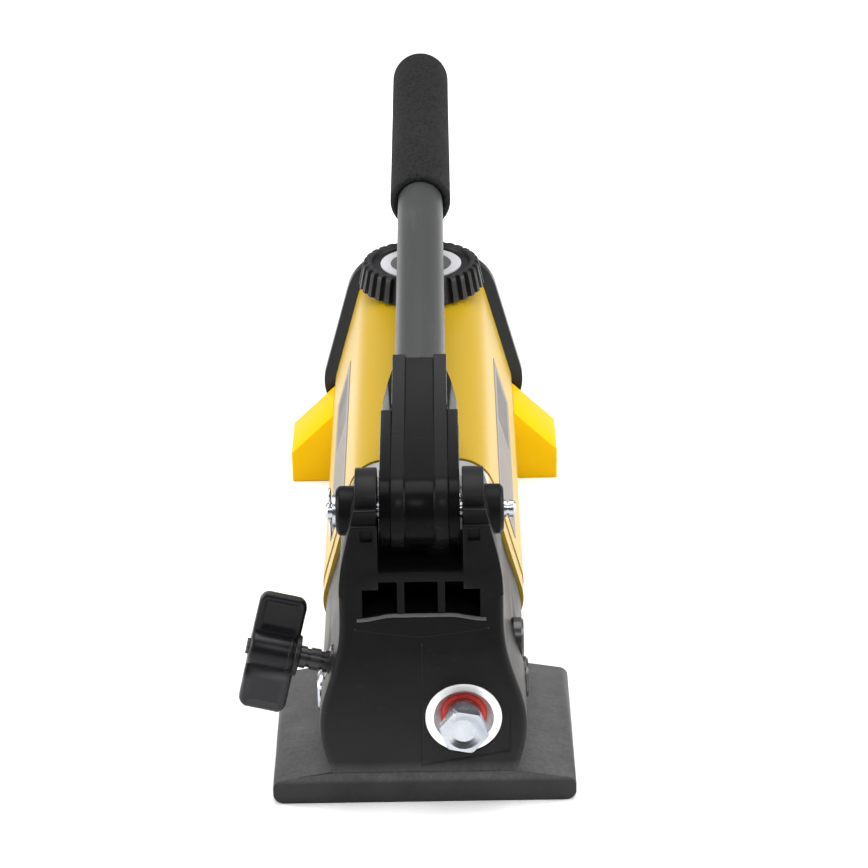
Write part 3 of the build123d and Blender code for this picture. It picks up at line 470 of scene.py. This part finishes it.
def rounded_copy(node, width, segments=2, sharp=33.0):
    """Copy of a CAD node with its sharp edges rounded; stray bevel corners go back to its skin."""
    merge = 0.002 * MM
    flat = math.radians(0.6)
    source = bmesh.new()
    source.from_mesh(NODES[node].data)
    bmesh.ops.remove_doubles(source, verts=source.verts, dist=merge)
    bmesh.ops.dissolve_limit(source, angle_limit=flat, verts=source.verts,
                             edges=source.edges, delimit={"NORMAL"})
    skin = BVHTree.FromBMesh(source)
    edges = [edge for edge in source.edges
             if len(edge.link_faces) == 2 and edge.calc_face_angle() > math.radians(sharp)]
    bmesh.ops.bevel(source, geom=edges, offset=width, offset_type="OFFSET", segments=segments,
                    profile=0.5, affect="EDGES", clamp_overlap=False, loop_slide=True)
    for vertex in source.verts:
        spot, _, _, away = skin.find_nearest(vertex.co)
        if away > 0.5 * width:
            vertex.co = spot
    piece = mesh_object(node + "_look", source)
    smooth_by_angle(piece)
    return piece


def round_nodes():
    """Rounded edges on the parts whose edges catch the light."""
    widths = {
        "lever_beam": 0.5 * MM,
        "head_casing": 0.5 * MM,
        "rear_foot": 0.6 * MM,
        "end_cap": 0.5 * MM,
        "release_gland": 0.3 * MM,
    }
    for node, width in widths.items():
        finish_piece(rounded_copy(node, width), BODY_OF[node], SLOT_OF[node], node)


# ---------------------------------------------------------------- pieces modelled here
def lever_place():
    """Lever axes in the shared frame: +Y along the lever from its pivot."""
    tilt = Matrix.Rotation(math.radians(LEVER_TILT), 4, "X")
    return Matrix.Translation((0, 0, PIVOT_Z * MM)) @ tilt


def knob_place():
    """Release knob axes: +Z outwards along the stem, +X along the upper wing."""
    seat = Matrix.Translation(Vector(KNOB_SEAT) * MM)
    tilt = Matrix.Rotation(math.radians(KNOB_TILT - 90.0), 4, "Y")
    return seat @ tilt @ Matrix.Rotation(math.radians(KNOB_TURN), 4, "Z")


def revolve(bm, profile, sides, radius_at=None, axis="Z"):
    """Skin round an axis from (along, radius) points in mm; radius_at may vary it by turn."""
    rings = []
    for along, radius in profile:
        ring = []
        for side in range(sides):
            turn = TAU * side / sides
            reach = radius_at(turn, along, radius) if radius_at else radius
            across, up = reach * math.cos(turn), reach * math.sin(turn)
            spot = (across, up, along) if axis == "Z" else (across, along, up)
            ring.append(bm.verts.new(Vector(spot) * MM))
        rings.append(ring)
    for first, second in zip(rings, rings[1:]):
        for side in range(sides):
            after = (side + 1) % sides
            bm.faces.new((first[side], first[after], second[after], second[side]))
    for ring in (rings[0], rings[-1]):
        bm.faces.new(ring)


def arc(centre, radius, start, end, steps):
    """Points of an arc as (along, radius) pairs, angles in degrees."""
    points = []
    for step in range(steps + 1):
        turn = math.radians(start + (end - start) * step / steps)
        points.append((centre[0] + radius * math.cos(turn), centre[1] + radius * math.sin(turn)))
    return points


def build_grip():
    """Foam sleeve: soft front lip, faint waves where hands have pressed it, domed closed end."""
    start, tip, radius, bore = 323.0, 512.0, 14.4, 10.75
    lip, steps = 2.4, 60
    profile = [(start + 14.0, bore), (start + 7.0, bore), (start + 3.5, 11.2), (start + 1.4, 11.7)]
    profile += arc((start + lip, radius - lip), lip, 200.0, 90.0, 7)
    length = tip - radius - (start + lip)
    profile += [(start + lip + length * step / steps, radius) for step in range(1, steps)]
    profile += arc((tip - radius, 0.0), radius, 90.0, 3.0, 20)
    waves = [(random.uniform(0.03, 0.09), random.uniform(0.02, 0.12), random.choice((0, 1, 2)),
              random.uniform(0, TAU)) for _ in range(7)]

    def pressed(turn, along, reach):
        if reach < radius - lip:
            return reach
        dent = sum(size * (1 + math.sin(along * rate + lobes * turn + phase))
                   for size, rate, lobes, phase in waves)
        return reach - 0.5 * dent

    bm = bmesh.new()
    revolve(bm, profile, 96, pressed, axis="Y")
    grip = place_piece(bm, "grip_look", lever_place(), 50.0)
    finish_piece(grip, "lever", "grip_foam", "lever_grip")


def smoothstep(low, high, value):
    """Soft step from 0 at low to 1 at high."""
    share = min(max((value - low) / (high - low), 0.0), 1.0)
    return share * share * (3 - 2 * share)


def build_filler_cap():
    """Screw cap with moulded grip teeth, a raised rim and a sunk top."""
    teeth, depth = 32, 2.1
    seat, top, low_r, top_r = 94.8, 107.0, 29.4, 26.9

    def wall(height):
        return low_r + (top_r - low_r) * (height - seat) / (top - seat)

    profile = [(82.9, 8.7), (82.9, 10.6), (seat, 10.6), (seat, wall(seat) - depth)]
    profile += [(height, wall(height)) for height in (95.5, 98.0, 101.0, 104.0, 105.9)]
    profile += [(106.5, wall(106.5) - 0.3), (106.85, wall(top) - 0.9), (top, wall(top) - depth)]
    profile += [(top, 23.5), (106.8, 22.95), (106.3, 22.75), (105.4, 22.7), (105.1, 22.5),
                (105.0, 22.0), (105.0, 0.4)]

    def toothed(turn, height, reach):
        if reach < wall(height) - depth + 0.01:
            return reach
        groove = 1 - smoothstep(-0.45, 0.25, math.cos(teeth * turn))
        return reach - (reach - wall(height) + depth) * groove

    bm = bmesh.new()
    revolve(bm, profile, teeth * 14, toothed)
    cap = place_piece(bm, "filler_cap_look", Matrix.Translation((0, FILLER_Y * MM, 0)), 38.0)
    finish_piece(cap, "cap", "filler_black", "filler_cap")


def wing_half_length(reach, tip, half, corner):
    """Half-length of a wing at a distance from the axis, with a rounded outer corner."""
    past = max(reach - (tip - corner), 0.0)
    return half - corner + math.sqrt(max(corner ** 2 - past ** 2, 0.0))


def add_wing(bm, turn, root, bend):
    """One wing of the knob: curved plate with a rounded border and a dished face on each side."""
    inner, tip, half, corner, middle = 2.0, 23.4, 9.5, 4.0, 24.0
    thick, edge, dish = 3.1, 1.5, 0.8
    rows, columns = 34, 30
    place = Matrix.Rotation(turn, 4, "Z")
    sheets = []
    for face in (1, -1):
        sheet = []
        for row in range(rows + 1):
            reach = inner + (tip - inner) * math.sin(0.5 * math.pi * row / rows)
            room = wing_half_length(reach, tip, half, corner)
            line = []
            for column in range(columns + 1):
                along = room * math.sin(0.5 * math.pi * (2 * column / columns - 1))
                inset = min(room - abs(along), tip - reach)
                body = thick - edge + math.sqrt(edge ** 2 - (edge - min(inset, edge)) ** 2)
                body -= dish * smoothstep(1.8, 3.6, inset) * smoothstep(8.0, 10.5, reach)
                centre = root + bend * (reach / tip) ** 2
                spot = Vector((reach, centre + face * body, middle + along)) * MM
                line.append(bm.verts.new(place @ spot))
            sheet.append(line)
        sheets.append(sheet)
    for sheet in sheets:
        for lower, upper in zip(sheet, sheet[1:]):
            for column in range(columns):
                bm.faces.new((lower[column], lower[column + 1], upper[column + 1], upper[column]))
    front, back = sheets
    rim = [(row, 0) for row in range(rows + 1)]
    rim += [(rows, column) for column in range(1, columns + 1)]
    rim += [(row, columns) for row in range(rows - 1, -1, -1)]
    for (r0, c0), (r1, c1) in zip(rim, rim[1:]):
        bm.faces.new((front[r0][c0], front[r1][c1], back[r1][c1], back[r0][c0]))


def build_knob():
    """Moulded wing knob: hub with a double collar towards the pump and two curved wings."""
    bm = bmesh.new()
    profile = [(13.5, 4.5), (13.5, 7.9), (13.9, 8.35), (15.3, 8.35), (15.7, 7.9), (15.9, 6.9),
               (16.5, 6.9), (16.7, 7.4), (17.3, 7.6), (18.0, 7.4), (18.2, 7.2), (31.9, 7.2),
               (33.0, 6.8), (33.5, 6.1), (33.5, 4.6), (33.1, 4.2), (33.1, 3.3)]
    revolve(bm, profile, 72)
    add_wing(bm, 0.0, 2.2, -2.2)
    add_wing(bm, math.pi, 0.0, 1.8)
    knob = place_piece(bm, "knob_look", knob_place(), 42.0)
    finish_piece(knob, "release_valve", "knob_black", "release_knob")


def build_port_plug():
    """Zinc plug: hexagon with a turned crown, washer face, dished end and shank."""
    flat, rise, shank = 8.5, 4.5, 7.18
    corner_limit, hexagon_mark = 9.76, 10.0
    profile = [(-29.5, 0.4), (-29.5, 6.0), (-28.6, shank), (-0.6, shank), (0.0, 7.9), (0.0, 8.2)]
    hexagon = [0.35, 0.6, 3.0, 3.4, 3.6, 3.8, 4.0, 4.15, 4.3, 4.42, rise]
    profile += [(along, hexagon_mark) for along in hexagon]
    profile += [(rise, 7.5), (4.4, 7.2), (3.3, 4.9), (3.2, 4.6), (3.25, 3.8), (3.35, 0.4)]

    def faceted(turn, along, reach):
        if reach < hexagon_mark:
            return reach
        corner = flat / math.cos(turn % (TAU / 6) - TAU / 12)
        crown = 9.25 + 1.75 * (rise - along)
        foot = 8.9 + 1.75 * (along - 0.35)
        return min(corner, corner_limit, crown, foot)

    bm = bmesh.new()
    revolve(bm, profile, 144, faceted)
    seat = Matrix.Translation(Vector(PLUG_SEAT) * MM)
    turned = Matrix.Rotation(math.pi / 2, 4, "X") @ Matrix.Rotation(math.radians(PLUG_TURN), 4, "Z")
    plug = place_piece(bm, "port_plug_look", seat @ turned, 24.0)
    finish_piece(plug, "head", "zinc_steel", "port_plug")


def wire_piece(name, points, radius):
    """Round wire through points given in mm."""
    data = bpy.data.curves.new(name, "CURVE")
    data.dimensions = "3D"
    data.bevel_depth = radius * MM
    data.bevel_resolution = 4
    data.resolution_u = 10
    data.use_fill_caps = True
    spline = data.splines.new("NURBS")
    spline.points.add(len(points) - 1)
    for point, spot in zip(spline.points, points):
        point.co = (*(Vector(spot) * MM), 1.0)
    spline.order_u = 3
    spline.use_endpoint_u = True
    curve = bpy.data.objects.new(name + "_path", data)
    SCENE.collection.objects.link(curve)
    bpy.context.view_layer.update()
    graph = bpy.context.evaluated_depsgraph_get()
    mesh = bpy.data.meshes.new_from_object(curve.evaluated_get(graph))
    bpy.data.objects.remove(curve)
    piece = bpy.data.objects.new(name, mesh)
    SCENE.collection.objects.link(piece)
    mesh.materials.clear()
    smooth_by_angle(piece, 50.0)
    return piece


def build_cotter():
    """Split pin bent from one wire: eye above the fulcrum pin, legs spread below it."""
    half_loop = [(0.45, 4.4), (0.7, 5.0), (2.2, 5.9), (2.5, 7.2), (1.7, 8.6), (0.5, 9.2)]
    leg = [(0.45, -4.0), (0.45, 0.0)]
    near = [(-3.9, -8.9), (-2.4, -7.0), (-0.9, -5.0)] + [(-y, z) for y, z in leg + half_loop]
    far = [(y, z) for y, z in reversed(leg + half_loop)] + [(0.9, -5.0), (2.2, -7.2), (3.3, -9.2)]
    points = [(COTTER_X, y, PIVOT_Z + z) for y, z in near + far]
    finish_piece(wire_piece("cotter_look", points, 0.55), "head", "zinc_steel", "cotter_pin")


def casing_surface():
    """Search tree over the casing's faces, in the shared frame."""
    node = NODES["head_casing"]
    corners = [node.matrix_world @ vertex.co for vertex in node.data.vertices]
    faces = [tuple(face.vertices) for face in node.data.polygons]
    return BVHTree.FromPolygons(corners, faces)


def on_casing(surface, x, z, sink):
    """Point on the front of the casing at x and z in mm, sunk by a depth."""
    start = Vector((x, AHEAD, min(z, WINDOW_SILL))) * MM
    spot = surface.ray_cast(start, Vector((0, 1, 0)))[0]
    return (x, spot.y / MM + sink, z)


def build_mould_lines():
    """Raised bead under the windows in a lighter grey as a painted highlight on the lip, the crease
    below it and the mould's parting line.
    """
    bead = [(x, 82.2 - 1.9 * smoothstep(11.0, 24.0, abs(x))) for x in range(-25, 26, 2)]
    crease = [(x, 73.2 + 3.4 * (abs(x) / 26.0) ** 1.3) for x in range(-26, 27, 2)]
    parting = [(0.0, z) for z in range(19, 73, 3)]
    surface = casing_surface()
    lines = [
        # The bead's lighter grey is a painted highlight along the lip under the windows.
        ("window_bead_highlight", bead, 0.75, 0.30, "disc_grey"),
        ("casing_crease", crease, 0.45, 0.30, "casing_black"),
        ("parting_line", parting, 0.30, 0.20, "casing_black"),
    ]
    for name, line, radius, sink, slot in lines:
        points = [on_casing(surface, x, z, sink) for x, z in line]
        finish_piece(wire_piece(name, points, radius), "head", slot)


# ---------------------------------------------------------------- stage
def build_camera():
    """Camera at the place and angle that the product view was taken from."""
    data = bpy.data.cameras.new("view")
    data.lens = 135.04
    data.sensor_width = 36.0
    data.clip_start = 0.05
    camera = bpy.data.objects.new("view", data)
    SCENE.collection.objects.link(camera)
    forward = Vector((-0.00407, 0.90832, -0.41826))
    right = Vector((0.99987, -0.00290, -0.01603))
    up = right.cross(forward)
    camera.matrix_world = Matrix((right, up, -forward)).transposed().to_4x4()
    camera.location = (0.01109, -1.13000, 0.67137)
    SCENE.camera = camera


def build_world():
    """White studio: bright behind, above and beside the pump, dimmer in front of it."""
    world = bpy.data.worlds.new("studio")
    world.use_nodes = True
    SCENE.world = world
    tree = world.node_tree
    background = tree.nodes["Background"]
    direction = tree.nodes.new("ShaderNodeTexCoord").outputs["Generated"]
    split = tree.nodes.new("ShaderNodeSeparateXYZ")
    tree.links.new(direction, split.inputs[0])
    ramp = tree.nodes.new("ShaderNodeMapRange")
    ramp.interpolation_type = "SMOOTHSTEP"
    limits = {"From Min": -0.85, "From Max": 0.3, "To Min": 0.05, "To Max": 0.45}
    for socket, value in limits.items():
        ramp.inputs[socket].default_value = value
    tree.links.new(split.outputs["Y"], ramp.inputs["Value"])
    tree.links.new(ramp.outputs["Result"], background.inputs["Strength"])
    background.inputs["Color"].default_value = (1.0, 1.0, 1.0, 1.0)


def area_light(name, place, target, size, power):
    """Rectangular lamp turned towards a target."""
    data = bpy.data.lights.new(name, "AREA")
    data.shape = "RECTANGLE"
    data.size, data.size_y = size
    data.energy = power
    lamp = bpy.data.objects.new(name, data)
    SCENE.collection.objects.link(lamp)
    lamp.location = place
    lamp.rotation_euler = (Vector(target) - Vector(place)).to_track_quat("-Z", "Y").to_euler()


def build_lights():
    """Large soft lamps: one in front, one at each side and one overhead."""
    head = (0, 0.1, 0.06)
    area_light("key", (0.15, -1.1, 1.35), head, (0.6, 0.4), 5.5)
    area_light("left", (-1.2, 0.1, 0.55), head, (0.9, 0.7), 17.0)
    area_light("right", (1.2, 0.1, 0.55), head, (0.9, 0.7), 17.0)
    area_light("top", (0.0, 0.45, 1.6), (0, 0.35, 0.0), (1.3, 1.3), 27.0)


def build_floor():
    """Plain pale floor."""
    bpy.ops.mesh.primitive_plane_add(size=12.0)
    floor = bpy.context.object
    floor.name = "floor"
    shader = Shader("floor")
    tone = shader.noise(3.0, 2.0, 0.5)
    shader.link(shader.mix(tone, (0.93, 0.93, 0.93, 1.0), (0.95, 0.95, 0.95, 1.0)), "Base Color")
    shader.set(Roughness=0.9)
    floor.data.materials.append(shader.material)


# ---------------------------------------------------------------- scene
random.seed(7)
dress_nodes()
round_nodes()
build_grip()
build_filler_cap()
build_knob()
build_cotter()
build_port_plug()
build_mould_lines()
build_camera()
build_world()
build_lights()
build_floor()
SCENE.view_settings.view_transform = "Standard"
